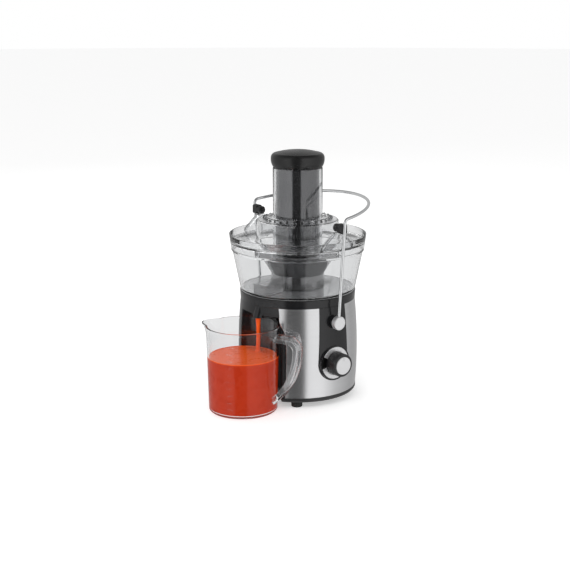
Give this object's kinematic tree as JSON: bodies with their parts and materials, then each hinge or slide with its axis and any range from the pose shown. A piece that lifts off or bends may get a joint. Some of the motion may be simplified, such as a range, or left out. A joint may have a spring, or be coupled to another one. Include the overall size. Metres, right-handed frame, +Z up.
{
  "type": "centrifugal juicer",
  "caption": "Centrifugal juicer with a round motor base, clear bowl and lid, wide feed tube with pusher, wire locking bail, speed knob and a juice jug under its spout.",
  "frame": {"origin": "on the rotor axis, at the height of the table that the feet stand on", "axes": "+Z up along the rotor axis; -Y is the front with the speed knob; the bail's loop lies towards +X; the spout and jug are near -X"},
  "size_m": [0.2974, 0.2462, 0.402],
  "materials": {
    "black_gloss_plastic": "gloss black moulded plastic",
    "black_matte_plastic": "fine-textured black plastic",
    "brushed_steel": "fine brushed stainless steel",
    "satin_silver": "satin silver trim",
    "chrome_wire": "bright chromed wire",
    "clear_plastic": "clear moulded plastic",
    "smoky_plastic": "smoky dark grey gloss plastic",
    "stainless": "plain stainless steel",
    "basket_plastic": "dark grey plastic",
    "rubber": "black rubber",
    "laminated_iron": "laminated electrical steel",
    "copper_windings": "lacquered copper wire",
    "bracket_alloy": "die-cast alloy",
    "bearing_steel": "ground bearing steel",
    "screw_steel": "zinc-plated screws",
    "carbon": "pressed carbon"
  },
  "bodies": {
    "root": {"base_housing": "black_gloss_plastic", "jug_bay": "black_gloss_plastic", "steel_front_plate": "brushed_steel", "control_panel": "black_gloss_plastic", "dial_ring": "satin_silver", "top_deck": "black_gloss_plastic", "shaft_seal": "rubber", "base_plate": "black_matte_plastic", "rubber_feet": "rubber", "base_plate_screws": "screw_steel", "cord_inlet": "black_gloss_plastic", "spout_nozzle": "black_gloss_plastic", "pulp_bowl": "clear_plastic", "juice_collector": "smoky_plastic", "lid": "clear_plastic", "feed_tube": "clear_plastic", "stator_core": "laminated_iron", "field_coils": "copper_windings", "upper_motor_bracket": "bracket_alloy", "lower_motor_bracket": "bracket_alloy", "upper_bearing": "bearing_steel", "lower_bearing": "bearing_steel", "motor_screws": "screw_steel", "motor_mounts": "rubber", "mount_screws": "screw_steel", "brush_holders": "black_matte_plastic", "carbon_brushes": "carbon", "speed_switch": "black_matte_plastic", "safety_switch": "black_matte_plastic", "pivot_bushes": "black_matte_plastic"},
    "rotor": {"motor_shaft": "stainless", "armature_core": "laminated_iron", "armature_windings": "copper_windings", "commutator": "copper_windings", "cooling_fan": "black_matte_plastic", "drive_coupling": "black_matte_plastic", "basket_frame": "basket_plastic", "filter_mesh": "stainless", "grater_disc": "stainless"},
    "bail": {"bail_wire": "chrome_wire", "front_pivot_cap": "satin_silver", "rear_pivot_cap": "satin_silver", "pivot_pins": "stainless", "roller_holders": "black_matte_plastic"},
    "front_roller": {"front_roller": "black_matte_plastic"},
    "rear_roller": {"rear_roller": "black_matte_plastic"},
    "pusher": {"pusher_body": "smoky_plastic", "pusher_cap": "black_matte_plastic"},
    "knob": {"knob_body": "black_matte_plastic", "knob_face": "satin_silver", "knob_spindle": "stainless"},
    "jug": {"jug": "clear_plastic"}
  },
  "joints": [
    {"name": "rotor_spin", "type": "hinge", "parent": "root", "child": "rotor", "pos_m": [0, 0, 0.1], "axis": [0, 0, 1], "continuous": true},
    {"name": "bail_swing", "type": "hinge", "parent": "root", "child": "bail", "pos_m": [0, 0, 0.139], "axis": [0, 1, 0], "range_deg": [0, 90]},
    {"name": "front_roller_spin", "type": "hinge", "parent": "bail", "child": "front_roller", "pos_m": [0, -0.103, 0.291], "axis": [0, 1, 0], "continuous": true},
    {"name": "rear_roller_spin", "type": "hinge", "parent": "bail", "child": "rear_roller", "pos_m": [0, 0.103, 0.291], "axis": [0, 1, 0], "continuous": true},
    {"name": "pusher_lift", "type": "slide", "parent": "root", "child": "pusher", "axis": [0, 0, 1], "range_m": [0, 0.13]},
    {"name": "knob_turn", "type": "hinge", "parent": "root", "child": "knob", "pos_m": [0, -0.11, 0.072], "axis": [0, -1, 0], "range_deg": [-80, 0]},
    {"name": "jug_pull", "type": "slide", "parent": "root", "child": "jug", "axis": [-0.9848, -0.1736, 0], "range_m": [0, 0.2]}
  ]
}
